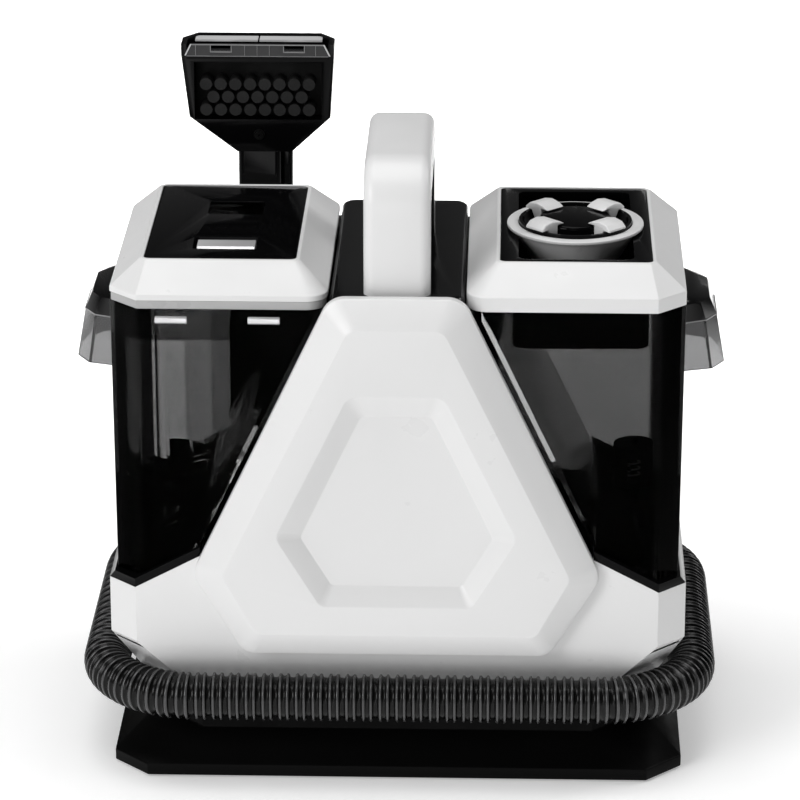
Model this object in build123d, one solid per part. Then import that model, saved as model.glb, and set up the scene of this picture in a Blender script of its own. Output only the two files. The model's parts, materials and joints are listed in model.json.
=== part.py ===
"""Portable carpet and upholstery cleaner with two lift-off tanks, a hose and a spray tool.

Millimetres, +Z up, the front faces -Y. The origin is at the middle of the foot print, on the floor.
"""

from build123d import *
import math
import os

# ---- driving dimensions --------------------------------------------------------------------------
BASE_HALF = 175.0            # half width of the base plate and the lower housing
BASE_FRONT = -123.0
BASE_REAR = 115.0
BASE_CUT = 22.0              # corner chamfer of the base plate
BODY_CUT = 17.0              # corner chamfer of the housing, tanks and covers
WALL = 3.0

FOOT_HEIGHT = 1.5            # how far the rubber feet stand below the base plate
PLATE_TOP = 8.9
SKIRT_TOP = 24.0
SKIRT_INSET = 23.0           # from the plate's edge to the neck
SKIRT_CUT = 31.7             # the corner chamfers widen towards the neck
NECK_TOP = 56.0
HULL_BOTTOM = 52.0
HULL_INSET = 16.4
HULL_CUT = 34.0              # corner chamfer at the bottom of the lower housing
BAND_BOTTOM = 91.0
BAND_REAR = 77.0
LEDGE = 126.5                # top of the white band at the sides
LEDGE_BEND = 158.2           # where the band's top edge starts to rise towards the middle
LEDGE_SLOPE = 0.527
TRAY_RISE = 5.5

CORE_HALF_TOP = 46.0
CORE_TOP = 300.0
CORE_BOTTOM = 151.0
CORE_SLOPE = 0.476           # sideways run of the slanted walls for each unit of height
COVER_TOP = 313.7
COVER_TOP_HALF = 39.5
DECK_TOP = 311.5
DECK_HALF = 40.0

TANK_FRONT = -119.5
TANK_REAR = 71.5
TANK_OUTER = 171.2
TANK_INNER = 50.0
TANK_WALL = 2.5
RIM = 303.1                  # top of the tanks, underside of their covers
FASCIA_TOP = 312.0
ROOF_TOP = 326.5
TANK_MIDDLE_Y = -24.0

HOSE_RADIUS = 14.5
HOSE_HEIGHT = 58.0
HOSE_SIDE = 181.5            # centreline of the hose beside the body
HOSE_FRONT = -129.5
HOSE_REAR = 121.5
HOSE_CUT = 35.15
CHANNEL_HALF = 162.0         # half width of the ledge behind the hose

HOSE_PORT_X = 80.0           # where the hose leaves the machine at the rear
# Runs that the hose follows round the body and up to the grip; its length is about 1.02 m.
HOSE_ROUTE = [
    (98, 121.5, 58), (146.35, 121.5, 58), (181.5, 86.35, 58), (181.5, -94.35, 58),
    (146.35, -129.5, 58), (-146.35, -129.5, 58), (-181.5, -94.35, 58), (-181.5, 90, 58),
    (-150, 128, 64), (-112, 136, 88), (-92.5, 127, 121.3), (-92.5, 117.6, 166.2),
]
INLET_X = 20.0               # power cord gland on the rear
INLET_Z = 112.0

FAN_Y = -25.0
WASTE_X = -140.0             # the two pipes that stand in the waste tank
INTAKE_Y = 30.0
AIR_Y = -50.0
PIPE_RADIUS = 12.0
VALVE_X = 145.0              # outlet valve of the clean tank
VALVE_Y = 0.0

# Side grips of the tanks: (height, reach, half length, corner cut) at each level.
HOOD_LEVELS = [(277, 192.5, 35.5, 7), (288, 188, 35, 6), (291, 178, 34, 4)]
HOOD_HOLLOW = [(276.9, 192.5, 35.5, 7), (286.5, 188, 35, 6), (289, 178, 34, 4)]
SKIRT_LEVELS = [(246, 198, 36.5, 8), (277, 192.5, 35.5, 7)]
SKIRT_HOLLOW = [(245.9, 198, 36.5, 8), (277.1, 192.5, 35.5, 7)]
GRIP_WALL = 2.0
GRIP_LEAN = 6.0              # the grips' front and rear faces draw in by this towards the outside

INNER_EDGE = 41.0            # covers start here, beside the deck
ROOF_X = (58.5, 153.5)       # flat top of a cover
ROOF_Y = (-95.7, 56.4)
PANEL_X = (60.5, 151.5)
PANEL_Y = (-93.7, 54.4)
LATCH = (-121.5, -86.5, -73.0, -53.0)      # left, right, front and rear of the latch bar
WINDOW = (-119.5, -85.5, -5.4, 21.0)
CAP_X = 106.0
CAP_Y = -25.0

HANDLE_FRONT = -118.0
HANDLE_REAR = 20.0
HANDLE_TOP = 391.5
HANDLE_HALF = 19.8
HANDLE_THICK = 15.0
HANDLE_BEND = 28.0
BUTTON_Y = 45.0

TOOL_X = -92.5               # middle of the wand
TOOL_Y = 89.0
GRIP_TILT = math.degrees(math.atan2(23.0, 110.0))
TRIGGER_PIVOT = (88.0, 288.0)
HEAD_FRONT = 76.0
HEAD_BACK = 104.0
HEAD_OUTLINE = [(-141, 412), (-45, 412), (-45, 405), (-47.5, 364.6), (-72, 342), (-106.3, 342),
                (-136.3, 364.6), (-141, 405)]
HEAD_BUTTON_Z = 352.0
BRUSH_X = -93.2
BRUSH_ROWS = [(386.3, 8), (378.0, 7), (369.7, 8)]     # height and number of tufts
BRUSH_PITCH = 9.25
TUFT_RADIUS = 3.85


# ---- helpers -------------------------------------------------------------------------------------
def rounded(points, radii):
    """Closed outline through the points, each corner with its own radius, 0 for a sharp one."""
    return make_face(FilletPolyline(*points, radius=radii, close=True))


def prism(points, low, high, radii=None):
    """Upright block with a plan outline in X and Y."""
    face = rounded(points, radii) if radii else Polygon(*points, align=None)
    return extrude(Pos(0, 0, low) * face, high - low, dir=(0, 0, 1))


def slab(points, front, rear, radii=None):
    """Block with an outline in X and Z, between two depths."""
    face = rounded(points, radii) if radii else Polygon(*points, align=None)
    return extrude(Plane.XZ.offset(-front) * face, rear - front, dir=(0, 1, 0))


def side_slab(points, left, right, radii=None):
    """Block with an outline in Y and Z, between two places along X."""
    face = rounded(points, radii) if radii else Polygon(*points, align=None)
    return extrude(Plane.YZ.offset(left) * face, right - left, dir=(1, 0, 0))


def block(x0, x1, y0, y1, z0, z1, radius=0.0):
    """Box between two corners, with rounded upright edges if a radius is given."""
    corners = [(x0, y0), (x1, y0), (x1, y1), (x0, y1)]
    return prism(corners, z0, z1, [radius] * 4 if radius else None)


def rod(x, y, z0, z1, radius):
    """Upright cylinder."""
    return Pos(x, y, (z0 + z1) / 2) * Cylinder(radius, z1 - z0)


def rod_x(x0, x1, y, z, radius):
    return Pos((x0 + x1) / 2, y, z) * Rot(0, 90, 0) * Cylinder(radius, x1 - x0)


def rod_y(x, y0, y1, z, radius):
    return Pos(x, (y0 + y1) / 2, z) * Rot(90, 0, 0) * Cylinder(radius, y1 - y0)


def mirrored(points):
    """Adds the left half of an outline that is given for the right half, from top to bottom."""
    return points + [(-x, z) for x, z in reversed(points)]


def chamfered(half, front, rear, cut):
    """Plan outline with four cut corners."""
    return [(cut - half, front), (half - cut, front), (half, front + cut), (half, rear - cut),
            (half - cut, rear), (cut - half, rear), (-half, rear - cut), (-half, front + cut)]


def base_plan(inset, cut):
    """The base's outline, moved inwards on every side, with a corner chamfer."""
    return chamfered(BASE_HALF - inset, BASE_FRONT + inset, BASE_REAR - inset, cut)


def inner_cut(cut, inset):
    """Chamfer that keeps an inner wall parallel to an outer one."""
    return cut - inset * (2 - math.sqrt(2))


def taper(low_points, low, high_points, high):
    """Block whose plan outline changes evenly from one height to another."""
    return loft([Pos(0, 0, low) * Polygon(*low_points, align=None),
                 Pos(0, 0, high) * Polygon(*high_points, align=None)], ruled=True)


def turned(points, x, y):
    """Solid of revolution about an upright axis, from points of radius and height."""
    return Pos(x, y, 0) * revolve(Plane.XZ * Polygon(*points, align=None), Axis.Z, 360)


def pipe(points, outer, inner, bend):
    """Tube along straight runs joined by arcs."""
    path = FilletPolyline(*points, radius=bend)
    start = Plane(origin=path @ 0, z_dir=path % 0)
    return sweep(start * Circle(outer), path) - sweep(start * Circle(inner), path)


def mirror_x(part):
    """The same part on the other side of the machine."""
    return mirror(part, about=Plane.YZ)


def core_half(z):
    """Half width of the central housing at a height."""
    return COVER_TOP_HALF + (COVER_TOP - z) * CORE_SLOPE


def ledge_at(x):
    """Height of the white band's top edge at a distance from the middle."""
    return LEDGE + max(0.0, LEDGE_BEND - abs(x)) * LEDGE_SLOPE


# ---- base and lower housing ----------------------------------------------------------------------
def base_plate():
    neck_cut = inner_cut(SKIRT_CUT, WALL)
    outer = prism(base_plan(0, BASE_CUT), FOOT_HEIGHT, PLATE_TOP)
    outer += taper(base_plan(0, BASE_CUT), PLATE_TOP, base_plan(SKIRT_INSET, SKIRT_CUT), SKIRT_TOP)
    outer += prism(base_plan(SKIRT_INSET, SKIRT_CUT), SKIRT_TOP, NECK_TOP)
    inner = taper(base_plan(8, BASE_CUT), 5, base_plan(SKIRT_INSET + WALL, neck_cut), 21)
    inner += prism(base_plan(SKIRT_INSET + WALL, neck_cut), 21, NECK_TOP + 1)
    for x, y in foot_places():
        outer -= rod(x, y, 0, FOOT_HEIGHT + 2, 11)
    outer -= rod_y(HOSE_PORT_X, 70, 130, HOSE_HEIGHT, 17.4)
    return outer - inner


def foot_places():
    return [(x, y) for x in (-140, 140) for y in (-92, 84)]


def rubber_feet():
    return Compound(children=[rod(x, y, 0, FOOT_HEIGHT + 2, 10.9) for x, y in foot_places()])


def chassis_plate():
    inset = SKIRT_INSET + WALL + 0.3
    plate = prism(base_plan(inset, inner_cut(SKIRT_CUT, WALL + 0.3)), HULL_BOTTOM + 0.5, NECK_TOP)
    for x, y in ((-80, -60), (80, -60), (-80, 55), (80, 55)):
        plate += rod(x, y, 5, HULL_BOTTOM + 0.5, 6)
    plate -= rod(HOSE_PORT_X, 92, 40, 70, 20)
    return plate


def lower_housing():
    hull = taper(base_plan(HULL_INSET, HULL_CUT), HULL_BOTTOM, base_plan(0, BODY_CUT), BAND_BOTTOM)
    peak = 112.0
    band = slab(mirrored([(peak, ledge_at(peak)), (LEDGE_BEND, LEDGE), (BASE_HALF, LEDGE),
                          (BASE_HALF, BAND_BOTTOM)]), BASE_FRONT, BAND_REAR)
    band &= prism(chamfered(BASE_HALF, BASE_FRONT, BAND_REAR, BODY_CUT), 80, 200)
    shell = hull + band
    shell -= taper(base_plan(HULL_INSET + WALL, inner_cut(HULL_CUT, WALL)), HULL_BOTTOM - 0.1,
                   base_plan(WALL, inner_cut(BODY_CUT, WALL)), BAND_BOTTOM - WALL)
    shell -= prism(chamfered(BASE_HALF - WALL, BASE_FRONT + WALL, BAND_REAR - WALL,
                             inner_cut(BODY_CUT, WALL)), 85, 200)
    shell -= rod_y(HOSE_PORT_X, 60, 130, HOSE_HEIGHT, 17.4)
    return shell - rod_y(INLET_X, 60, 90, INLET_Z, 7.2)


def hose_channel():
    """Ledge round the neck that the wrapped hose lies against."""
    reach = HOSE_SIDE - CHANNEL_HALF
    ring = prism(chamfered(CHANNEL_HALF, HOSE_FRONT + reach, HOSE_REAR - reach,
                           inner_cut(HOSE_CUT, reach)), 44, HULL_BOTTOM - 0.2)
    ring -= prism(base_plan(SKIRT_INSET - 0.2, SKIRT_CUT), 40, 60)
    return ring - block(HOSE_PORT_X - 18, 101, 80, 130, 40, 60)


def tank_tray(ports):
    """Black step that a tank stands on, with bores for pipes: each a place and a radius."""
    inner = 118.5
    outline = [(BASE_HALF, LEDGE), (TANK_OUTER + 0.3, LEDGE + TRAY_RISE),
               (LEDGE_BEND, LEDGE + TRAY_RISE), (inner, ledge_at(inner) + TRAY_RISE),
               (inner, ledge_at(inner)), (LEDGE_BEND, LEDGE)]
    tray = slab(outline, BASE_FRONT, BAND_REAR)
    tray &= prism(chamfered(BASE_HALF, BASE_FRONT, BAND_REAR, BODY_CUT), 80, 200)
    for x, y, radius in ports:
        tray -= rod(x, y, 100, 200, radius)
    return tray


def tank_tray_right():
    """Tray with a cup that takes the clean tank's valve and has a pin to push it open."""
    cup = rod(VALVE_X, VALVE_Y, 112, 131.9, 15.6) - rod(VALVE_X, VALVE_Y, 115, 140, 13.4)
    cup += rod(VALVE_X, VALVE_Y, 115, 126, 2)
    cup -= rod(VALVE_X + 7, VALVE_Y, 110, 125, 2)
    return tank_tray([(VALVE_X, VALVE_Y, 13.4)]) + cup


def tank_tray_left():
    return mirror_x(tank_tray([(-WASTE_X, INTAKE_Y, 12.6), (-WASTE_X, AIR_Y, 12.6)]))


# ---- central housing -----------------------------------------------------------------------------
def core_outline(low, high, inset):
    return [(inset - core_half(high), high), (core_half(high) - inset, high),
            (core_half(low) - inset, low), (inset - core_half(low), low)]


def core_housing():
    shell = slab(core_outline(CORE_BOTTOM, CORE_TOP, 0), BASE_FRONT, 74)
    shell -= slab(core_outline(CORE_BOTTOM - 1, CORE_TOP - WALL, WALL * 1.1), BASE_FRONT + WALL, 75)
    for x, y in handle_screws():
        shell -= rod(x, y, 290, 310, 2.2)
    return shell - rod(0, BUTTON_Y, 290, 310, 13)


def rear_cover():
    plate = slab(core_outline(CORE_BOTTOM, CORE_TOP, 0), 74, BAND_REAR)
    for row in range(9):
        z = 176 + row * 11
        plate -= block(-44, 44, 70, 80, z, z + 5)
    for x, z in rear_screw_places():
        plate -= rod_y(x, 70, 80, z, 2.1)
    return plate


def rear_screw_places():
    return [(-60, 160), (60, 160), (-36, 290), (36, 290)]


def housing_screws():
    """Four screws through the rear cover and two up into the handle."""
    screws = []
    for x, z in rear_screw_places():
        screws.append(rod_y(x, 66, BAND_REAR, z, 2) + rod_y(x, BAND_REAR, BAND_REAR + 1.6, z, 3.6))
    for x, y in handle_screws():
        screws.append(rod(x, y, 294, 322, 2) + rod(x, y, 292, 294, 4))
    return Compound(children=screws)


def deck_cover():
    deck = block(-DECK_HALF, DECK_HALF, -120, BAND_REAR, CORE_TOP, DECK_TOP, 9)
    deck = fillet(deck.faces().sort_by(Axis.Z)[-1].edges(), 4)
    deck -= block(2.5 - DECK_HALF, DECK_HALF - 2.5, -117.5, BAND_REAR - 2.5, 299, 308.5, 6.5)
    for x, y in handle_screws():
        deck -= rod(x, y, 300, 320, 2.2)
    return deck - rod(0, BUTTON_Y, 300, 320, 11.3)


def front_cover():
    outer = mirrored([(COVER_TOP_HALF, COVER_TOP), (123, 138.3), (92.4, 86.7)])
    plateau = mirrored([(27.8, 297.4), (104.5, 140.7), (83.9, 103)])
    recess_edge = mirrored([(28.4, 256), (72.3, 165.8), (45.4, 121.6)])
    recess_floor = mirrored([(21, 241), (57.7, 163.5), (39.1, 132.5)])
    hollow = mirrored([(34, 303), (113, 138.3), (87, 93)])
    big, mid, small = [15, 14, 12, 12, 14, 15], [9, 8, 7, 7, 8, 9], [5, 4, 4, 4, 4, 5]

    def at(points, radii, y):
        return Plane.XZ.offset(-y) * rounded(points, radii)

    cover = slab(outer, BASE_FRONT - 6, BASE_FRONT, big)
    cover += loft([at(outer, big, BASE_FRONT - 6), at(plateau, mid, -139)], ruled=True)
    cover -= loft([at(recess_edge, mid, -139.01), at(recess_floor, small, -131)], ruled=True)
    return cover - slab(hollow, -127, BASE_FRONT + 1, mid)


# ---- handle and switch ---------------------------------------------------------------------------
def handle_screws():
    return [(0, HANDLE_FRONT + 11), (0, HANDLE_REAR - 11)]


def arch(inset, low, radius, half):
    """Block under an arch that is a distance inside the handle's outline."""
    front, rear, top = HANDLE_FRONT + inset, HANDLE_REAR - inset, HANDLE_TOP - inset
    outline = [(front, low), (front, top), (rear, top), (rear, low)]
    return side_slab(outline, -half, half, [0, radius, radius, 0])


def handle_shell():
    shell = arch(0, DECK_TOP, HANDLE_BEND, HANDLE_HALF) - arch(HANDLE_THICK, 300, HANDLE_BEND - HANDLE_THICK, 50)
    legs = shell.edges().filter_by(GeomType.LINE).filter_by(Axis.Z)
    outer = legs.filter_by(lambda e: not HANDLE_FRONT + 1 < e.center().Y < HANDLE_REAR - 1)
    shell = fillet(outer, 6)
    for x, y in handle_screws():
        shell -= rod(x, y, 300, 322, 2.05)
    return shell


def handle_grip():
    """Dark inner side of the handle, under the fingers."""
    return (arch(HANDLE_THICK + 0.05, DECK_TOP, HANDLE_BEND - HANDLE_THICK - 0.05, HANDLE_HALF)
            - arch(HANDLE_THICK + 10, 300, 8, 50))


def power_button():
    button = rod(0, BUTTON_Y, 303, 314, 11)
    return fillet(button.edges().sort_by(Axis.Z)[-1], 1.2)


# ---- works inside --------------------------------------------------------------------------------
def vacuum_motor():
    return rod(0, FAN_Y, 56, 150, 44) + rod(0, FAN_Y, 150, 158, 30) + rod(0, FAN_Y, 158, 190, 4)


def fan_housing():
    """Round chamber above the motor, with an outlet to the rear and an inlet on top."""
    chamber = rod(0, FAN_Y, 158, 202, 64) + block(-24, 24, 20, 72, 166, 192)
    chamber -= rod(0, FAN_Y, 161, 199, 61)
    chamber -= block(-21.5, 21.5, 10, 73, 168.5, 189.5)
    return chamber - rod(0, FAN_Y, 150, 210, 12)


def fan_rotor():
    rotor = rod(0, FAN_Y, 168, 171, 54) + rod(0, FAN_Y, 168, 186, 10)
    for blade in range(8):
        rotor += Pos(0, FAN_Y, 0) * Rot(0, 0, blade * 45) * block(9, 52, -1, 1, 170, 184)
    return rotor - rod(0, FAN_Y, 160, 195, 4.05)


def pump_body():
    body = block(82, 128, -60, -20, 56, 88, 4) + rod_x(128, 152, -40, 72, 12)
    return body - rod_x(100, 153, -40, 72, 5.05)


def pump_plunger():
    return rod_x(106, 150, -40, 72, 5)


def intake_duct():
    """From the hose port up to the waste tank's standpipe."""
    return pipe([(WASTE_X, INTAKE_Y, 135.5), (WASTE_X, INTAKE_Y, 108), (-62, 64, 104),
                 (40, 62, 84), (HOSE_PORT_X, 74, 58.5), (HOSE_PORT_X, 91.5, HOSE_HEIGHT)],
                10, 8, [14, 22, 30, 14])


def suction_duct():
    """From the waste tank's air pipe to the middle of the fan housing."""
    return pipe([(WASTE_X, AIR_Y, 135.5), (WASTE_X, AIR_Y, 112), (-64, -98, 112),
                 (-64, -98, 222), (0, FAN_Y, 222), (0, FAN_Y, 202.5)], 9, 7.2, [12, 14, 14, 12])


def water_lines():
    feed = pipe([(VALVE_X, VALVE_Y, 112), (VALVE_X, VALVE_Y, 100), (104, -40, 100), (104, -40, 88)],
                4, 2.6, 6)
    delivery = pipe([(105, -20, 64), (105, 94, 64), (97.4, 95, 62)], 3, 2, 4)
    return Compound(children=[feed, delivery])


# ---- rear fittings and hose ----------------------------------------------------------------------
def cord_inlet():
    gland = rod_y(INLET_X, BAND_REAR - WALL, BAND_REAR, INLET_Z, 7)
    gland += rod_y(INLET_X, BAND_REAR, BAND_REAR + 8, INLET_Z, 9)
    return gland - rod_y(INLET_X, 60, 90, INLET_Z, 3.5)


def hose_port():
    """Elbow at the rear that turns the hose along the wrap."""
    elbow = rod_y(HOSE_PORT_X, 92, HOSE_REAR, HOSE_HEIGHT, 17)
    elbow += Pos(HOSE_PORT_X, HOSE_REAR, HOSE_HEIGHT) * Sphere(17.5)
    elbow += rod_x(HOSE_PORT_X, 98, HOSE_REAR, HOSE_HEIGHT, 17.5)
    elbow -= rod_y(HOSE_PORT_X, 91, HOSE_REAR, HOSE_HEIGHT, 11)
    elbow -= rod_x(HOSE_PORT_X, 99, HOSE_REAR, HOSE_HEIGHT, 11)
    return elbow - Pos(HOSE_PORT_X, HOSE_REAR, HOSE_HEIGHT) * Sphere(11)


def tube_path(route):
    """Straight runs joined by the largest arcs that the runs allow; prints the radii and length."""
    points = [Vector(*point) for point in route]
    radii = []
    for before, here, after in zip(points, points[1:], points[2:]):
        turn = math.radians((here - before).get_angle(after - here))
        shorter = min((here - before).length, (after - here).length)
        radii.append(0.45 * shorter / math.tan(turn / 2))
    path = FilletPolyline(*points, radius=radii)
    print("hose length", round(path.length, 1), "radii", [round(radius, 1) for radius in radii])
    return path


def suction_hose():
    path = tube_path(HOSE_ROUTE)
    tube = sweep(Plane(origin=path @ 0, z_dir=path % 0) * Circle(HOSE_RADIUS), path)
    section = math.pi * HOSE_RADIUS ** 2
    print("hose volume", round(tube.volume), "section x length", round(section * path.length))
    return tube


# ---- tanks ---------------------------------------------------------------------------------------
def tank_plan(inset, inner_x):
    """Plan outline of the right tank: two cut corners on the outside."""
    outer, cut = TANK_OUTER - inset, BODY_CUT - inset * (2 - math.sqrt(2))
    front, rear = TANK_FRONT + inset, TANK_REAR - inset
    return [(inner_x, front), (outer - cut, front), (outer, front + cut), (outer, rear - cut),
            (outer - cut, rear), (inner_x, rear)]


def tank_profile(inset, top):
    """The right tank seen from the front: one slanted side beside the central housing."""
    floor = LEDGE + TRAY_RISE + 0.2 + inset
    slant = 2.8 + inset * 1.108
    foot_x, top_x = 118.9 + inset * 1.2, TANK_INNER + inset
    knee = COVER_TOP - (top_x - COVER_TOP_HALF - slant) / CORE_SLOPE
    foot_z = COVER_TOP - (foot_x - COVER_TOP_HALF - slant) / CORE_SLOPE
    return [(top_x, top), (TANK_OUTER - inset, top), (TANK_OUTER - 1 - inset, floor),
            (LEDGE_BEND + 0.1 + inset * 0.25, floor), (foot_x, foot_z), (top_x, knee)]


def tank_shell(top=RIM):
    outer = slab(tank_profile(0, top), TANK_FRONT, TANK_REAR) & prism(tank_plan(0, 40), 100, 400)
    cavity = slab(tank_profile(TANK_WALL, top + 10), TANK_FRONT, TANK_REAR)
    return outer - (cavity & prism(tank_plan(TANK_WALL, 40), 100, 400))


def clean_tank_shell():
    shell = tank_shell() + rod(VALVE_X, VALVE_Y, 127, 150, 12.8)
    return shell - rod(VALVE_X, VALVE_Y, 120, 155, 7)


def waste_tank_shell():
    shell = mirror_x(tank_shell())
    for y in (INTAKE_Y, AIR_Y):
        shell -= rod(WASTE_X, y, 120, 160, PIPE_RADIUS + 0.02)
    return shell


def flare(levels, inset=0.0):
    """Side grip outline on the right tank, from levels of (height, reach, half length, cut)."""
    part = None
    for (z0, *low), (z1, *high) in zip(levels, levels[1:]):
        step = taper(ear_plan(low, inset), z0, ear_plan(high, inset), z1)
        part = step if part is None else part + step
    return part


def ear_plan(level, inset):
    reach, half, cut = level
    wall, middle = TANK_OUTER + 0.1, TANK_MIDDLE_Y
    reach, half = reach - inset, half - inset
    near, far = half - GRIP_LEAN, half - GRIP_LEAN - cut * 1.75
    return [(wall, middle - half), (reach - cut, middle - near), (reach, middle - far),
            (reach, middle + far), (reach - cut, middle + near), (wall, middle + half)]


def grip_hood():
    return flare(HOOD_LEVELS) - flare(HOOD_HOLLOW, GRIP_WALL)


def grip_skirt():
    return flare(SKIRT_LEVELS) - flare(SKIRT_HOLLOW, GRIP_WALL)


def waste_standpipes():
    """Intake pipe with a deflector, and the air pipe that the float slides on."""
    intake = rod(WASTE_X, INTAKE_Y, 137, 272, PIPE_RADIUS) + rod(WASTE_X, INTAKE_Y, 284, 287, 20)
    for angle in range(0, 360, 120):
        x, y = 10.5 * math.cos(math.radians(angle)), 10.5 * math.sin(math.radians(angle))
        intake += rod(WASTE_X + x, INTAKE_Y + y, 271, 285, 1.5)
    intake -= rod(WASTE_X, INTAKE_Y, 130, 273, PIPE_RADIUS - 2)
    air = rod(WASTE_X, AIR_Y, 137, 290, PIPE_RADIUS) + rod(WASTE_X, AIR_Y, 160, 163, 18)
    air -= rod(WASTE_X, AIR_Y, 130, 288, PIPE_RADIUS - 2)
    for angle in (0, 90):
        air -= Pos(WASTE_X, AIR_Y, 0) * Rot(0, 0, angle) * block(-20, 20, -3, 3, 262, 282)
    return Compound(children=[intake, air])


def float_ring():
    ring = rod(WASTE_X, AIR_Y, 163.2, 187, 21) - rod(WASTE_X, AIR_Y, 160, 190, PIPE_RADIUS + 0.4)
    return fillet(ring.edges().filter_by(GeomType.CIRCLE).sort_by(Axis.Z)[-1], 1.5)


def rim_catches():
    """Two bright catches on the front of the waste tank, under the lid."""
    catches = []
    for x in (-133.5, -78.5):
        catch = side_slab([(TANK_FRONT, 294), (TANK_FRONT, 299), (TANK_FRONT - 2.6, 298),
                           (TANK_FRONT - 2.6, 295.6)], x - 9.5, x + 9.5)
        catches.append(catch)
    return Compound(children=catches)


# ---- covers --------------------------------------------------------------------------------------
def cover_plan(x0, x1, y0, y1, cut, radius):
    """Outline of the right cover: cut corners outside, round corners beside the deck."""
    points = [(x0, y0), (x1 - cut, y0), (x1, y0 + cut), (x1, y1 - cut), (x1 - cut, y1), (x0, y1)]
    return rounded(points, [radius, 0, 0, 0, 0, radius])


def fascia(inset):
    return cover_plan(INNER_EDGE + inset, TANK_OUTER - inset, -120 + inset, 72 - inset,
                      BODY_CUT - inset * 0.586, 13 - inset)


def plateau(inset):
    return cover_plan(ROOF_X[0] + inset, ROOF_X[1] - inset, ROOF_Y[0] + inset, ROOF_Y[1] - inset,
                      3.5, 4)


def roof(bottom):
    """Hollow hipped cover with an opening for its panel."""
    def solid(inset, low, lower, upper):
        body = extrude(Pos(0, 0, low) * fascia(inset), lower - low, dir=(0, 0, 1))
        return body + loft([Pos(0, 0, lower) * fascia(inset), Pos(0, 0, upper) * plateau(inset)],
                           ruled=True)
    shell = solid(0, bottom, FASCIA_TOP, ROOF_TOP) - solid(2.5, bottom - 1, 310, 323.5)
    opening = block(*PANEL_X, *PANEL_Y, 315, 330, 4)
    return shell - opening


def panel(high=ROOF_TOP - 0.4):
    return block(PANEL_X[0] + 0.2, PANEL_X[1] - 0.2, PANEL_Y[0] + 0.2, PANEL_Y[1] - 0.2,
                 high - 3, high, 3.8)


def waste_lid_skirt():
    """Grey rim of the waste lid, which fits over the tank's mouth."""
    rim = extrude(Pos(0, 0, RIM) * fascia(0.8), 5.3, dir=(0, 0, 1))
    return mirror_x(rim - extrude(Pos(0, 0, RIM - 1) * fascia(4), 8, dir=(0, 0, 1)))


def waste_lid_panel():
    plate = mirror_x(panel())
    left, right, front, rear = LATCH
    plate -= block(left - 2.5, right + 1, front - 1, rear + 1.5, 310, 330, 0.8)
    plate += block(left - 4.5, right + 3, front - 3, rear + 3.5, 312, 323.1, 2)
    plate -= block(left - 2.5, right + 1, front - 1, rear + 1.5, 314.5, 330, 0.8)
    left, right, front, rear = WINDOW
    return plate - block(left, right, front, rear, 310, 330, 2)


def lid_window():
    left, right, front, rear = WINDOW
    return block(left + 0.1, right - 0.1, front + 0.1, rear - 0.1, 322.5, 325.3, 1.9)


def latch_bar():
    left, right, front, rear = LATCH
    return side_slab([(front, 318.5), (front, 323.5), (front + 3, 326.3), (rear - 4, 326.3),
                      (rear, 323.5), (rear, 318.5)], left, right)


def clean_lid_panel():
    """Black panel with the deep well that the fill cap sits in."""
    well = (71.5, 140.5, -88.5, 47.0)
    body = panel() + block(68.5, 150, -92, 53, 271, 323.1, 8)
    body -= block(71, 147.5, -89.5, 50.5, 273.5, 320, 6)
    body -= block(*well, 300, 330, 6)
    body -= rod(CAP_X, CAP_Y, 318, 330, 39.4)
    return body - rod(CAP_X, CAP_Y, 265, 280, 25.8)


# ---- fill funnel and cap -------------------------------------------------------------------------
def fill_funnel():
    return turned([(41.5, 329.5), (41.5, 327.5), (38.3, 326.7), (25.5, 305), (25.5, 256), (23, 256),
                   (23, 306), (34.7, 327), (34.7, 329.5)], CAP_X, CAP_Y)


def fill_cap_plug():
    return turned([(0, 309), (0, 313), (21, 313), (31.5, 329), (32.3, 331.3), (34.3, 331.3),
                   (34.3, 328), (22.6, 307), (22.6, 303), (20.6, 302), (20.6, 299), (22.6, 298), (22.6, 294), (19, 294),
                   (19, 309)], CAP_X, CAP_Y)


def fill_cap_seal():
    return Pos(CAP_X, CAP_Y, 300.5) * Torus(21.75, 0.95)


def cap_hub():
    return turned([(0, 313.3), (18.5, 313.3), (22.3, 321), (22.3, 331.5), (21.3, 332.8), (0, 333.6)],
                  CAP_X, CAP_Y)


def cap_claws():
    """Four finger grips that arch from the hub out over the rim."""
    profile = [(22.4, 323), (27.5, 325.5), (30.6, 331.8), (35.7, 331.8), (35.7, 333.2), (32.5, 336),
               (26.5, 337), (20.5, 335.8), (16.5, 333.7), (22.4, 333.7)]
    radii = [0, 1, 0, 0, 0.8, 2, 2, 2, 0, 0]
    claw = slab(profile, -7.25, 7.25, radii)
    claws = [Pos(CAP_X, CAP_Y, 0) * Rot(0, 0, 45 + 90 * turn) * claw for turn in range(4)]
    return Compound(children=[piece - cap_hub() for piece in claws])


# ---- outlet valve of the clean tank --------------------------------------------------------------
def valve_cage():
    cage = rod(VALVE_X, VALVE_Y, 150, 176, 12.8) - rod(VALVE_X, VALVE_Y, 149, 174, 11)
    for angle in (0, 90):
        cage -= Pos(VALVE_X, VALVE_Y, 0) * Rot(0, 0, angle) * block(-15, 15, -4, 4, 154, 170)
    return cage - rod(VALVE_X, VALVE_Y, 170, 180, 2.6)


def valve_poppet():
    return (rod(VALVE_X, VALVE_Y, 150.2, 153, 9.6) + rod(VALVE_X, VALVE_Y, 126.3, 151, 2.5)
            + rod(VALVE_X, VALVE_Y, 152, 180, 2.3))


def valve_spring():
    wire, radius, low, high = 0.6, 6.0, 153.8, 173.0
    path = Pos(VALVE_X, VALVE_Y, low) * Helix(pitch=(high - low) / 5, height=high - low, radius=radius)
    return sweep(Plane(origin=path @ 0, z_dir=path % 0) * Circle(wire), path)


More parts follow.
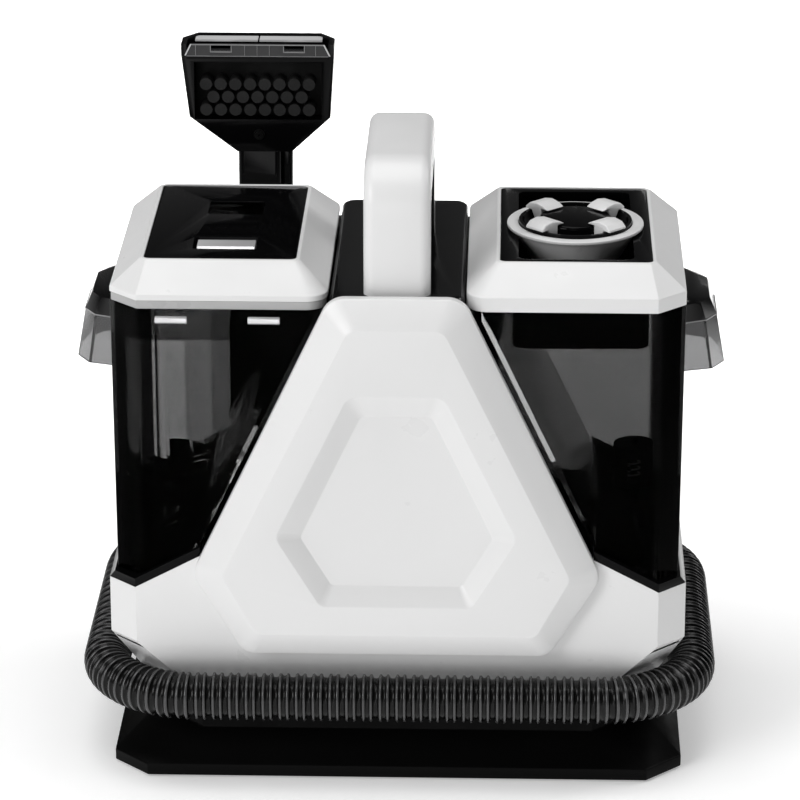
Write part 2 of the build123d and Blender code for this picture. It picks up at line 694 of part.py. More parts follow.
# ---- wand and spray tool -------------------------------------------------------------------------
def grip_plane(along):
    """Plane across the tilted grip, a distance below its upper end, facing down the grip."""
    tilt = math.radians(GRIP_TILT)
    direction = Vector(0, math.sin(tilt), -math.cos(tilt))
    origin = Vector(TOOL_X, TOOL_Y, 303) + direction * along
    return Plane(origin=origin, x_dir=(1, 0, 0), z_dir=direction)


def wand_body():
    """Neck, grip and the water tube's cover in one moulding."""
    neck = block(TOOL_X - 13.5, TOOL_X + 13.5, 77, 101, 300, 362, 4)
    neck += block(TOOL_X + 13, TOOL_X + 20.5, 83, 96, 300, 341.6, 3)
    grip = extrude(grip_plane(-4) * RectangleRounded(29, 32, 8), 117)
    wand = neck + (grip & block(-150, -40, 74, 150, 150, 304))
    wand -= block(TOOL_X - 7.4, TOOL_X + 7.4, 70, 95, 262, 296)
    wand -= block(TOOL_X - 7.4, TOOL_X + 7.4, 70, 100, 232, 263)
    wand -= rod_x(TOOL_X - 20, TOOL_X + 20, TRIGGER_PIVOT[0], TRIGGER_PIVOT[1], 2.05)
    return wand - extrude(grip_plane(101) * Circle(10.05), 14)


def trigger():
    """Finger lever in a slot on the front of the grip, on its own pin."""
    y, z = TRIGGER_PIVOT
    lever = side_slab([(80, 293), (91, 293), (91.5, 280), (91, 262), (90, 238), (86, 236),
                       (82, 240), (79.5, 262), (77.5, 280)],
                      TOOL_X - 7, TOOL_X + 7, [3, 2, 0, 0, 2, 1.5, 2, 0, 3])
    return lever + rod_x(TOOL_X - 13.5, TOOL_X + 13.5, y, z, 2)


def hose_cuff():
    cuff = extrude(grip_plane(113.3) * Circle(17.5), 26.4) + extrude(grip_plane(101.5) * Circle(10), 12)
    return cuff - extrude(grip_plane(100) * Circle(8), 60)


def head_shell():
    hull = slab(HEAD_OUTLINE, HEAD_FRONT, HEAD_BACK)
    hull &= prism([(-142, 70), (-44, 70), (-44, 90), (-54, 104), (-132, 104), (-142, 90)], 330, 420)
    hull -= prism([(-137.5, 70), (-48.5, 70), (-48.5, 90), (-56, 101), (-130, 101), (-137.5, 90)],
                  402, 420)
    hull -= block(-133, -53, 70, 90, 363, 400)
    hull -= block(-120, -66, 92, 99, 362, 410)
    hull -= block(TOOL_X - 13.8, TOOL_X + 13.8, 76.7, 101.3, 330, 362.3)
    return hull - rod_y(TOOL_X, 101, 110, HEAD_BUTTON_Z, 6.3)


def mouth_window():
    """Clear lip of the suction mouth, with two slots in its front wall."""
    lip = slab([(-137.3, 402.1), (-48.7, 402.1), (-48.7, 405), (-50.5, 410), (-135, 410),
                (-137.3, 405)], HEAD_FRONT, HEAD_FRONT + 2.2)
    lip += block(-137.3, -48.7, HEAD_FRONT + 2, 89.8, 402.1, 404)
    for x in (-121, -77.5):
        lip -= block(x, x + 12.5, HEAD_FRONT - 1, HEAD_FRONT + 3, 406.5, 409.7)
    return lip


def brush_plate():
    return block(-132.9, -53.1, 86, 89.9, 363.1, 399.9)


def bristle_tufts():
    tufts = []
    for z, count in BRUSH_ROWS:
        for place in range(count):
            x = BRUSH_X + (place - (count - 1) / 2) * BRUSH_PITCH
            tufts.append(rod_y(x, HEAD_FRONT - 1.5, 86, z, TUFT_RADIUS))
    return Compound(children=tufts)


def spray_tip():
    tip = rod_y(TOOL_X, 74.5, 76, 353.5, 3.4) + rod_y(TOOL_X, 73, 74.5, 353.5, 2.2)
    return tip - rod_y(TOOL_X, 72, 75, 353.5, 0.8)


def head_button():
    return rod_y(TOOL_X, 102.5, 106.5, HEAD_BUTTON_Z, 6)


def tool_dock():
    """Bracket on the rear deck that holds the grip between two arms."""
    dock = block(-114, -71, 78, 83, BAND_BOTTOM, 226)
    dock += block(-114, -108.2, 83, 113, 204, 226) + block(-76.8, -71, 83, 113, 204, 226)
    foot = block(-114, -71, 83, 98, BAND_BOTTOM, 95)
    return dock + foot


# ---- write one file per piece --------------------------------------------------------------------
PARTS = {
    "base_plate": base_plate, "rubber_feet": rubber_feet, "chassis_plate": chassis_plate,
    "lower_housing": lower_housing, "hose_channel": hose_channel,
    "tank_tray_left": tank_tray_left, "tank_tray_right": tank_tray_right,
    "core_housing": core_housing, "rear_cover": rear_cover, "housing_screws": housing_screws,
    "deck_cover": deck_cover, "front_cover": front_cover,
    "handle_shell": handle_shell, "handle_grip": handle_grip, "power_button": power_button,
    "vacuum_motor": vacuum_motor, "fan_housing": fan_housing, "fan_rotor": fan_rotor,
    "pump_body": pump_body, "pump_plunger": pump_plunger, "intake_duct": intake_duct,
    "suction_duct": suction_duct, "water_lines": water_lines,
    "cord_inlet": cord_inlet, "hose_port": hose_port, "suction_hose": suction_hose,
    "clean_tank_shell": clean_tank_shell, "waste_tank_shell": waste_tank_shell,
    "clean_grip_hood": grip_hood, "clean_grip_skirt": grip_skirt,
    "waste_grip_hood": lambda: mirror_x(grip_hood()),
    "waste_grip_skirt": lambda: mirror_x(grip_skirt()),
    "waste_standpipes": waste_standpipes, "float_ring": float_ring, "rim_catches": rim_catches,
    "waste_lid": lambda: mirror_x(roof(RIM + 5.3)), "waste_lid_skirt": waste_lid_skirt,
    "waste_lid_panel": waste_lid_panel, "lid_window": lid_window, "latch_bar": latch_bar,
    "clean_lid": lambda: roof(RIM), "clean_lid_panel": clean_lid_panel,
    "fill_funnel": fill_funnel, "fill_cap_plug": fill_cap_plug, "fill_cap_seal": fill_cap_seal,
    "cap_hub": cap_hub, "cap_claws": cap_claws,
    "valve_cage": valve_cage, "valve_poppet": valve_poppet, "valve_spring": valve_spring,
    "wand_body": wand_body, "trigger": trigger, "hose_cuff": hose_cuff,
    "head_shell": head_shell, "mouth_window": mouth_window, "brush_plate": brush_plate,
    "bristle_tufts": bristle_tufts, "spray_tip": spray_tip, "head_button": head_button,
    "tool_dock": tool_dock,
}


def main():
    os.makedirs("parts", exist_ok=True)
    for name, make in PARTS.items():
        export_step(make(), f"parts/{name}.step")


if __name__ == "__main__":
    main()
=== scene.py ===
import bmesh
import bpy
import json
import math
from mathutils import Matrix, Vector


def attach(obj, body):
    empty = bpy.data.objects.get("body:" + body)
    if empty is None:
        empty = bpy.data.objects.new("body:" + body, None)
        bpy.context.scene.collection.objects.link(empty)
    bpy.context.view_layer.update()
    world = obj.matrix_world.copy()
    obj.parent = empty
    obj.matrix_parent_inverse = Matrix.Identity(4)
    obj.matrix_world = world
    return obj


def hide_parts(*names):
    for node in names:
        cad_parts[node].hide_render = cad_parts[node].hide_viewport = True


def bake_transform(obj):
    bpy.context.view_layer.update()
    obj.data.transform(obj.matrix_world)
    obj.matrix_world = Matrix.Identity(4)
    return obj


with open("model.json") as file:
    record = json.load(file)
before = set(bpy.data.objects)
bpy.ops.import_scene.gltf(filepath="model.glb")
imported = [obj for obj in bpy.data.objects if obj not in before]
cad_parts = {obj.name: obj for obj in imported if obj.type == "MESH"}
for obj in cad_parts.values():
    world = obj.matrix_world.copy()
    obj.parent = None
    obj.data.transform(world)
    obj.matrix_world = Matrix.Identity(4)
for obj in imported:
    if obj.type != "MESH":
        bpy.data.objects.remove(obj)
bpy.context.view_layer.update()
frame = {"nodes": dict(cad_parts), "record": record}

# ---- camera --------------------------------------------------------------------------------------
TARGET = Vector((-0.0008, -0.023, 0.212))
DISTANCE = 2.4976
PITCH = math.radians(20.19)
AZIMUTH = math.radians(1.64)
SENSOR = 36.0
LENS = 181.4

# ---- hose ----------------------------------------------------------------------------------------
HOSE_RADIUS = 0.0145
HOSE_PITCH = 0.0101
HOSE_SIDES = 48
# The route of the part's own hose, in metres, with a point more near each end of a long straight run.
HOSE_ROUTE = [
    (0.098, 0.1215, 0.058), (0.14635, 0.1215, 0.058), (0.1815, 0.08635, 0.058),
    (0.1815, 0.0366, 0.058), (0.1815, -0.0446, 0.058), (0.1815, -0.09435, 0.058),
    (0.14635, -0.1295, 0.058), (0.0966, -0.1295, 0.058), (-0.0966, -0.1295, 0.058),
    (-0.14635, -0.1295, 0.058), (-0.1815, -0.09435, 0.058), (-0.1815, -0.0446, 0.058),
    (-0.1815, 0.0406, 0.058), (-0.1815, 0.090, 0.058), (-0.150, 0.128, 0.064),
    (-0.112, 0.136, 0.088), (-0.0925, 0.127, 0.1213), (-0.0925, 0.1176, 0.1662),
]


def make_camera():
    data = bpy.data.cameras.new("camera")
    data.lens = LENS
    data.sensor_width = SENSOR
    camera = bpy.data.objects.new("camera", data)
    bpy.context.scene.collection.objects.link(camera)
    back = Vector((math.sin(AZIMUTH) * math.cos(PITCH), -math.cos(AZIMUTH) * math.cos(PITCH),
                   math.sin(PITCH)))
    camera.location = TARGET + back * DISTANCE
    camera.rotation_euler = (-back).to_track_quat("-Z", "Y").to_euler()
    bpy.context.scene.camera = camera


make_camera()


# ---- materials -----------------------------------------------------------------------------------
NOISE_LOW = 0.3              # a noise's values lie mostly between these two
NOISE_HIGH = 0.7
FLOW_SCALE = 14              # scales of the three noises in moulded plastic, in cycles for each metre
WIPE_SCALE = 45
GRAIN_SCALE = 2600
GRAIN_DEPTH = 0.0002
HAZE_SCALE = 12
TANK_REACH = 0.2             # half the width that the tanks' tint is laid out over
WASTE_BAND = 0.2835          # the waste tank is darker above this height
BAND_GREY = 0.06
# Where each grey of the tanks' tint starts or ends, from the left side to the right; the near-black at
# both ends is painted shade on the corner bends.
TANK_STOPS = [(-0.162, 0.008), (-0.160, 0.30), (-0.126, 0.30), (-0.125, 0.17), (-0.100, 0.17),
              (-0.098, 0.09), (-0.05, 0.09), (0.05, 0.235), (0.156, 0.235), (0.158, 0.008)]


def shader(name, color, roughness, **inputs):
    """A material with one Principled shader; other sockets are set by their names."""
    material = bpy.data.materials.new(name)
    material.use_nodes = True
    bsdf = material.node_tree.nodes["Principled BSDF"]
    bsdf.inputs["Base Color"].default_value = (*color, 1)
    bsdf.inputs["Roughness"].default_value = roughness
    for socket, value in inputs.items():
        bsdf.inputs[socket.replace("_", " ")].default_value = value
    return material, material.node_tree, bsdf


def node(tree, kind, **settings):
    made = tree.nodes.new(kind)
    for key, value in settings.items():
        if key in made.inputs:
            made.inputs[key].default_value = value
        else:
            setattr(made, key, value)
    return made


def noise_of(tree, scale, detail=3.0):
    """Noise in the object's own space, in cycles for each metre."""
    coordinates = node(tree, "ShaderNodeTexCoord")
    texture = node(tree, "ShaderNodeTexNoise", Scale=scale, Detail=detail)
    tree.links.new(coordinates.outputs["Object"], texture.inputs["Vector"])
    return texture.outputs["Fac"]


def between(tree, factor, low, high):
    """A number that follows a noise from low to high."""
    scale = node(tree, "ShaderNodeMapRange")
    scale.inputs["From Min"].default_value = NOISE_LOW
    scale.inputs["From Max"].default_value = NOISE_HIGH
    scale.inputs["To Min"].default_value = low
    scale.inputs["To Max"].default_value = high
    tree.links.new(factor, scale.inputs["Value"])
    return scale.outputs["Result"]


def tint(tree, factor, dark, light):
    """A colour that follows a noise from dark to light."""
    ramp = node(tree, "ShaderNodeValToRGB")
    ramp.color_ramp.elements[0].position = NOISE_LOW
    ramp.color_ramp.elements[1].position = NOISE_HIGH
    ramp.color_ramp.elements[0].color = (*dark, 1)
    ramp.color_ramp.elements[1].color = (*light, 1)
    tree.links.new(factor, ramp.inputs["Fac"])
    return ramp.outputs["Color"]


def bumped(tree, bsdf, factor, strength, distance):
    bump = node(tree, "ShaderNodeBump", Strength=strength, Distance=distance)
    tree.links.new(factor, bump.inputs["Height"])
    tree.links.new(bump.outputs["Normal"], bsdf.inputs["Normal"])


def plastic(name, color, roughness, vary=0.06, grain=0.05, **inputs):
    """Moulded plastic: faint flow marks in the colour, a fine grain and small changes of gloss."""
    material, tree, bsdf = shader(name, color, roughness, **inputs)
    flow = noise_of(tree, FLOW_SCALE, 4)
    dark = tuple(c * (1 - vary) for c in color)
    light = tuple(min(1, c * (1 + vary)) for c in color)
    tree.links.new(tint(tree, flow, dark, light), bsdf.inputs["Base Color"])
    wipe = noise_of(tree, WIPE_SCALE, 5)
    tree.links.new(between(tree, wipe, roughness * 0.8, roughness * 1.25), bsdf.inputs["Roughness"])
    bumped(tree, bsdf, noise_of(tree, GRAIN_SCALE, 2), grain, GRAIN_DEPTH)
    return material


def smoked():
    """Dark see-through plastic of the tanks. Its tint is laid out by position: nearly black at the outer
    corner bends, a painted shade of looking through them at a slant, and darker over the waste tank's
    inner half and along its top."""
    material, tree, bsdf = shader("smoked_tank", (0.1, 0.1, 0.1), 0.03, Transmission_Weight=1.0,
                                  IOR=1.05, Specular_IOR_Level=0.3)
    place = node(tree, "ShaderNodeSeparateXYZ")
    tree.links.new(node(tree, "ShaderNodeTexCoord").outputs["Object"], place.inputs["Vector"])
    spread = node(tree, "ShaderNodeMapRange")
    spread.inputs["From Min"].default_value = -TANK_REACH
    spread.inputs["From Max"].default_value = TANK_REACH
    tree.links.new(place.outputs["X"], spread.inputs["Value"])
    ramp = node(tree, "ShaderNodeValToRGB")
    elements = ramp.color_ramp.elements
    while len(elements) < len(TANK_STOPS):
        elements.new(0.5)
    for element, (x, grey) in zip(elements, TANK_STOPS):
        element.position = (x + TANK_REACH) / (2 * TANK_REACH)
        element.color = (grey, grey, grey, 1)
    tree.links.new(spread.outputs["Result"], ramp.inputs["Fac"])
    top = node(tree, "ShaderNodeMath", operation="GREATER_THAN")
    top.inputs[1].default_value = WASTE_BAND
    tree.links.new(place.outputs["Z"], top.inputs[0])
    waste = node(tree, "ShaderNodeMath", operation="LESS_THAN")
    waste.inputs[1].default_value = 0.0
    tree.links.new(place.outputs["X"], waste.inputs[0])
    both = node(tree, "ShaderNodeMath", operation="MULTIPLY")
    tree.links.new(top.outputs["Value"], both.inputs[0])
    tree.links.new(waste.outputs["Value"], both.inputs[1])
    band = node(tree, "ShaderNodeMixRGB")
    tree.links.new(both.outputs["Value"], band.inputs["Fac"])
    tree.links.new(ramp.outputs["Color"], band.inputs["Color1"])
    band.inputs["Color2"].default_value = (BAND_GREY, BAND_GREY, BAND_GREY, 1)
    haze = node(tree, "ShaderNodeMixRGB", blend_type="MULTIPLY")
    haze.inputs["Fac"].default_value = 1.0
    tree.links.new(band.outputs["Color"], haze.inputs["Color1"])
    tree.links.new(tint(tree, noise_of(tree, HAZE_SCALE, 3), (0.94, 0.94, 0.94), (1, 1, 1)),
                   haze.inputs["Color2"])
    tree.links.new(haze.outputs["Color"], bsdf.inputs["Base Color"])
    return material


LOOK = {
    "white": plastic("white_plastic", (0.75, 0.75, 0.75), 0.34, vary=0.003, grain=0.0),
    "black": plastic("black_plastic", (0.002, 0.002, 0.0022), 0.12, grain=0.02,
                     Specular_IOR_Level=0.08),
    "glossy": plastic("glossy_black_plastic", (0.003, 0.003, 0.0032), 0.16, grain=0.02,
                      Specular_IOR_Level=0.3),
    "satin": plastic("satin_black_plastic", (0.003, 0.003, 0.003), 0.4, grain=0.1,
                     Specular_IOR_Level=0.05),
    "grey": plastic("grey_plastic", (0.40, 0.40, 0.40), 0.3, vary=0.01, grain=0.0),
    "smoked": smoked(),
    "clear": plastic("smoked_clear", (0.17, 0.17, 0.172), 0.06, grain=0.01,
                     Transmission_Weight=0.9, IOR=1.45),
    "window": plastic("clear_plastic", (0.07, 0.07, 0.072), 0.08, grain=0.02,
                      Transmission_Weight=0.4, IOR=1.3),
    # Light bars on the clear plastic's edges and the grip seams, a painted highlight.
    "light": plastic("clear_edge_highlight", (0.24, 0.24, 0.243), 0.15, grain=0.02),
    # Pale bars behind the mouth's wall, and a painted highlight on the wall's leaning ends.
    "pale": plastic("pale_bars_and_edge_highlight", (0.60, 0.60, 0.605), 0.2, grain=0.02),
    "pipe": plastic("clear_pipe", (0.98, 0.98, 0.98), 0.05, vary=0.01, grain=0.0,
                    Transmission_Weight=1.0, IOR=1.01, Specular_IOR_Level=0.2),
    "silver": plastic("silver", (0.72, 0.72, 0.73), 0.22, Metallic=0.4),
    "hose": plastic("hose_plastic", (0.003, 0.003, 0.003), 0.25, grain=0.02,
                    Specular_IOR_Level=0.2),
    # The hose's ridges are glossier, and their lighter colour is a painted highlight.
    "ridge": plastic("hose_ridge_highlight", (0.05, 0.05, 0.051), 0.2, grain=0.02),
    "bristle": plastic("bristle", (0.010, 0.010, 0.010), 0.5, grain=0.3, Specular_IOR_Level=0.2),
    "rubber": plastic("rubber", (0.02, 0.02, 0.02), 0.6, grain=0.3),
    "steel": plastic("steel", (0.5, 0.5, 0.52), 0.3, Metallic=1.0),
    "metal": plastic("motor_metal", (0.25, 0.25, 0.27), 0.35, Metallic=0.6),
    "inner": plastic("pump_plastic", (0.03, 0.03, 0.033), 0.4, grain=0.2),
    "duct": plastic("duct_plastic", (0.04, 0.04, 0.042), 0.4, grain=0.2),
}

FINISH = {
    "white": "lower_housing front_cover handle_shell cap_claws fill_funnel waste_lid clean_lid",
    "black": "rear_cover tank_tray_left tank_tray_right "
             "handle_grip power_button waste_lid_panel clean_lid_panel "
             "fill_cap_plug cap_hub head_shell wand_body trigger hose_cuff "
             "hose_port cord_inlet head_button tool_dock",
    "glossy": "core_housing deck_cover clean_grip_hood waste_grip_hood",
    "satin": "brush_plate spray_tip base_plate hose_channel",
    "smoked": "clean_tank_shell waste_tank_shell lid_window",
    "clear": "clean_grip_skirt waste_grip_skirt",
    "grey": "waste_lid_skirt",
    "window": "mouth_window",
    "silver": "latch_bar rim_catches",
    "hose": "suction_hose",
    "bristle": "bristle_tufts",
    "rubber": "rubber_feet fill_cap_seal",
    "steel": "housing_screws valve_spring",
    "metal": "vacuum_motor",
    "inner": "pump_body pump_plunger fan_housing fan_rotor valve_cage valve_poppet",
    "duct": "chassis_plate intake_duct suction_duct water_lines",
    "pipe": "waste_standpipes float_ring",
}
MATERIAL_OF = {name: LOOK[key] for key, names in FINISH.items() for name in names.split()}
BODY_OF = {name: body for body, names in frame["record"]["behaviour"]["bodies"].items()
           for name in names}


def finish_cad():
    """Every CAD node gets its procedural material, shown or not."""
    for name, obj in frame["nodes"].items():
        obj.data.materials.clear()
        obj.data.materials.append(MATERIAL_OF[name])


# ---- pieces --------------------------------------------------------------------------------------
def new_piece(name, mesh, body, material):
    obj = bpy.data.objects.new(name, mesh)
    bpy.context.scene.collection.objects.link(obj)
    mesh.materials.clear()
    mesh.materials.append(material)
    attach(obj, body)
    return obj


def cad_copy(name):
    """The CAD node's mesh with its triangles joined into flat faces."""
    bm = bmesh.new()
    bm.from_mesh(frame["nodes"][name].data)
    for layers in (bm.verts.layers, bm.edges.layers, bm.faces.layers, bm.loops.layers):
        for kind in ("float_vector", "float", "int", "bool"):
            found = getattr(layers, kind, None)
            for layer in list(found.values()) if found else []:
                found.remove(layer)
    bmesh.ops.remove_doubles(bm, verts=bm.verts, dist=1e-6)
    bmesh.ops.dissolve_limit(bm, angle_limit=math.radians(0.4), use_dissolve_boundaries=False,
                             verts=bm.verts, edges=bm.edges, delimit={"NORMAL"})
    mesh = bpy.data.meshes.new(name + "_moulded")
    bm.to_mesh(mesh)
    bm.free()
    return mesh


def smooth(mesh, angle=35):
    mesh.polygons.foreach_set("use_smooth", [True] * len(mesh.polygons))
    mesh.set_sharp_from_angle(angle=math.radians(angle))


def moulded(name, width):
    """A moulding like the CAD node, with its edges rounded by a width in millimetres."""
    mesh = cad_copy(name)
    obj = new_piece(name + "_moulded", mesh, BODY_OF[name], MATERIAL_OF[name])
    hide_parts(name)
    rounded_edges(obj, width / 1000)


def make_spring():
    """The valve's spring, which shortens between its poppet and the top of the cage in the real part;
    here a still copy of the CAD node.
    """
    mesh = cad_copy("valve_spring")
    mesh.materials.clear()
    mesh.materials.append(MATERIAL_OF["valve_spring"])
    spring = bpy.data.objects.new("valve_coil", mesh)
    bpy.context.scene.collection.objects.link(spring)
    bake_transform(spring)
    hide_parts("valve_spring")


def tube(name, path, profile, body, material, around):
    """Rings along a path; profile gives (distance along, radius) for each ring."""
    lengths = [0.0]
    for a, b in zip(path, path[1:]):
        lengths.append(lengths[-1] + (b - a).length)
    bm = bmesh.new()
    rings = []
    side = None
    step = 0
    for along, radius in profile:
        while step < len(path) - 2 and lengths[step + 1] < along:
            step += 1
        span = lengths[step + 1] - lengths[step]
        part = min(max((along - lengths[step]) / span, 0), 1)
        centre = path[step].lerp(path[step + 1], part)
        before = path[max(step - 1, 0)]
        after = path[min(step + 2, len(path) - 1)]
        here = (path[step + 1] - path[step]).normalized()
        tangent = ((path[step] - before).normalized() * (1 - part) + here
                   + (after - path[step + 1]).normalized() * part).normalized()
        if side is None:
            side = tangent.orthogonal().normalized()
        side = (side - tangent * side.dot(tangent)).normalized()
        up = tangent.cross(side)
        ring = []
        for turn in range(around):
            angle = 2 * math.pi * turn / around
            ring.append(bm.verts.new(centre + (side * math.cos(angle) + up * math.sin(angle)) * radius))
        rings.append(ring)
    for low, high in zip(rings, rings[1:]):
        for turn in range(around):
            follow = (turn + 1) % around
            bm.faces.new((low[turn], low[follow], high[follow], high[turn]))
    bm.faces.new(rings[0][::-1])
    bm.faces.new(rings[-1])
    bmesh.ops.recalc_face_normals(bm, faces=bm.faces)
    mesh = bpy.data.meshes.new(name)
    bm.to_mesh(mesh)
    bm.free()
    smooth(mesh, 60)
    return new_piece(name, mesh, body, material)


def hose_line():
    """Points along the hose's smooth centreline."""
    curve = bpy.data.curves.new("hose_route", "CURVE")
    curve.dimensions = "3D"
    spline = curve.splines.new("NURBS")
    spline.points.add(len(HOSE_ROUTE) - 1)
    for point, place in zip(spline.points, HOSE_ROUTE):
        point.co = (*place, 1)
    spline.order_u = 3
    spline.use_endpoint_u = True
    spline.resolution_u = 24
    holder = bpy.data.objects.new("hose_route", curve)
    bpy.context.scene.collection.objects.link(holder)
    line = bpy.data.meshes.new_from_object(holder)
    path = [vertex.co.copy() for vertex in line.vertices]
    bpy.data.objects.remove(holder)
    return path


# One rib of the hose: where along the pitch, the share of the full radius, 1 for the glossy ridges, whose
# lighter colour is a painted highlight.
RIB = [(0.00, 0.83, 0), (0.12, 0.84, 0), (0.17, 0.90, 0), (0.20, 0.965, 1), (0.24, 0.99, 1),
       (0.29, 1.0, 1), (0.34, 0.985, 0), (0.40, 0.92, 0), (0.50, 0.89, 0), (0.60, 0.92, 0),
       (0.66, 0.985, 1), (0.71, 1.0, 1), (0.76, 0.99, 1), (0.80, 0.965, 0), (0.83, 0.90, 0),
       (0.88, 0.84, 0)]


def make_hose():
    path = hose_line()
    total = sum((b - a).length for a, b in zip(path, path[1:]))
    count = round(total / HOSE_PITCH)
    pitch = total / count
    profile = [((rib + share) * pitch, radius * HOSE_RADIUS)
               for rib in range(count) for share, radius, _ in RIB]
    profile.append((total, RIB[0][1] * HOSE_RADIUS))
    hose = tube("corrugated_hose", path, profile, "machine", LOOK["hose"], HOSE_SIDES)
    hose.data.materials.append(LOOK["ridge"])
    finishes = [ridge for _ in range(count) for _, _, ridge in RIB for _ in range(HOSE_SIDES)] + [0, 0]
    hose.data.polygons.foreach_set("material_index", finishes)
    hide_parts("suction_hose")


# ---- covers --------------------------------------------------------------------------------------
CORNER_STEPS = 8
BEVEL_STEPS = 3
RIM = 0.3031
WASTE_LID_RAISE = 0.0053
FASCIA_TOP = 0.312
ROOF_TOP = 0.3265
LID_WALL = 0.0025
OPENING_FOOT = 0.3233
LID_CEILING = 0.310
# Plans of the right-hand cover as (inner X, outer X, front Y, rear Y).
FASCIA_BOX = (0.041, 0.1712, -0.120, 0.072)
ROOF_BOX = (0.0585, 0.1535, -0.0957, 0.0564)
OPENING_BOX = (0.0605, 0.1515, -0.0937, 0.0544)
FASCIA_CUT = 0.017
FASCIA_BEND = 0.013
ROOF_CUT = 0.0035
ROOF_BEND = 0.004


def corner(x, y, dx, dy, size, rounded):
    """Points round one corner of a cover's outline, on an arc or along a straight chamfer."""
    points = []
    for step in range(CORNER_STEPS + 1):
        share = step / CORNER_STEPS
        if rounded:
            angle = math.radians(90 * share)
            along, across = 1 - math.sin(angle), 1 - math.cos(angle)
        else:
            along, across = 1 - share, share
        points.append((x - dx * size * along, y - dy * size * across))
    return points


def cover_ring(inset, box, outer_size, inner_size, z, outer_round=False):
    """A cover's outline at one height: round corners beside the deck, cut corners outside."""
    x0, x1, y0, y1 = box[0] + inset, box[1] - inset, box[2] + inset, box[3] - inset
    points = corner(x0, y0, -1, -1, inner_size, True)[::-1]
    points += corner(x1, y0, 1, -1, outer_size, outer_round)
    points += corner(x1, y1, 1, 1, outer_size, outer_round)[::-1]
    points += corner(x0, y1, -1, 1, inner_size, True)
    return [Vector((x, y, z)) for x, y in points]


def joined_rings(name, rings):
    """Closed skin through rings of equal length, the last one joined to the first."""
    bm = bmesh.new()
    verts = [[bm.verts.new(point) for point in ring] for ring in rings]
    count = len(verts[0])
    for low, high in zip(verts, verts[1:] + verts[:1]):
        for place in range(count):
            follow = (place + 1) % count
            bm.faces.new((low[place], low[follow], high[follow], high[place]))
    bmesh.ops.recalc_face_normals(bm, faces=bm.faces)
    mesh = bpy.data.meshes.new(name)
    bm.to_mesh(mesh)
    bm.free()
    return mesh


def rounded_edges(obj, width, angle=24):
    bevel = obj.modifiers.new("edges", "BEVEL")
    bevel.width = width
    bevel.segments = BEVEL_STEPS
    bevel.limit_method = "ANGLE"
    bevel.angle_limit = math.radians(angle)
    bevel.harden_normals = True
    obj.data.polygons.foreach_set("use_smooth", [True] * len(obj.data.polygons))


def make_cover(node_name, side, bottom):
    """Hipped cover of one tank; side is 1 for the right tank and -1 for the left one."""
    inner_cut, inner_bend = FASCIA_CUT - LID_WALL * 0.586, FASCIA_BEND - LID_WALL
    rings = [
        cover_ring(0, FASCIA_BOX, FASCIA_CUT, FASCIA_BEND, bottom),
        cover_ring(0, FASCIA_BOX, FASCIA_CUT, FASCIA_BEND, FASCIA_TOP),
        cover_ring(0, ROOF_BOX, ROOF_CUT, ROOF_BEND, ROOF_TOP),
        cover_ring(0, OPENING_BOX, ROOF_BEND, ROOF_BEND, ROOF_TOP, True),
        cover_ring(0, OPENING_BOX, ROOF_BEND, ROOF_BEND, OPENING_FOOT, True),
        cover_ring(LID_WALL, FASCIA_BOX, inner_cut, inner_bend, LID_CEILING),
        cover_ring(LID_WALL, FASCIA_BOX, inner_cut, inner_bend, bottom),
    ]
    rings = [[Vector((side * point.x, point.y, point.z)) for point in ring] for ring in rings]
    mesh = joined_rings(node_name + "_roof", rings)
    cover = new_piece(node_name + "_roof", mesh, BODY_OF[node_name], LOOK["white"])
    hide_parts(node_name)
    rounded_edges(cover, 0.0009, 20)


# ---- handle --------------------------------------------------------------------------------------
HANDLE_FRONT = -0.118
HANDLE_REAR = 0.020
HANDLE_TOP = 0.3915
HANDLE_FOOT = 0.3116
HANDLE_HALF = 0.0198
HANDLE_THICK = 0.015
HANDLE_BEND = 0.028
HANDLE_ROUND = 0.0065        # corner radius of the section outside
HANDLE_CRISP = 0.0012        # and inside


def handle_section():
    """Section of the handle as (across, outward) points: round outside, crisper inside."""
    points = []
    for across, outward, radius, start in ((1, 1, HANDLE_ROUND, 0), (-1, 1, HANDLE_ROUND, 90),
                                           (-1, -1, HANDLE_CRISP, 180), (1, -1, HANDLE_CRISP, 270)):
        for step in range(7):
            angle = math.radians(start + 15 * step)
            points.append((across * (HANDLE_HALF - radius) + radius * math.cos(angle),
                           outward * (HANDLE_THICK / 2 - radius) + radius * math.sin(angle)))
    return points


def make_handle():
    half = HANDLE_THICK / 2
    bend = HANDLE_BEND - half
    front, rear, top = HANDLE_FRONT + half, HANDLE_REAR - half, HANDLE_TOP - half
    stations = [(front, HANDLE_FOOT, 180)]
    for step in range(13):
        angle = 180 - 7.5 * step
        turn = math.radians(angle)
        stations.append((front + bend + bend * math.cos(turn), top - bend + bend * math.sin(turn), angle))
    for step in range(13):
        angle = 90 - 7.5 * step
        turn = math.radians(angle)
        stations.append((rear - bend + bend * math.cos(turn), top - bend + bend * math.sin(turn), angle))
    stations.append((rear, HANDLE_FOOT, 0))
    bm = bmesh.new()
    rings = []
    for y, z, angle in stations:
        turn = math.radians(angle)
        rings.append([bm.verts.new((across, y + outward * math.cos(turn), z + outward * math.sin(turn)))
                      for across, outward in handle_section()])
    for low, high in zip(rings, rings[1:]):
        for place in range(len(low)):
            follow = (place + 1) % len(low)
            bm.faces.new((low[place], low[follow], high[follow], high[place]))
    bm.faces.new(rings[0][::-1])
    bm.faces.new(rings[-1])
    bmesh.ops.recalc_face_normals(bm, faces=bm.faces)
    mesh = bpy.data.meshes.new("handle_bow")
    bm.to_mesh(mesh)
    bm.free()
    smooth(mesh, 40)
    bow = new_piece("handle_bow", mesh, BODY_OF["handle_shell"], LOOK["white"])
    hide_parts("handle_shell")


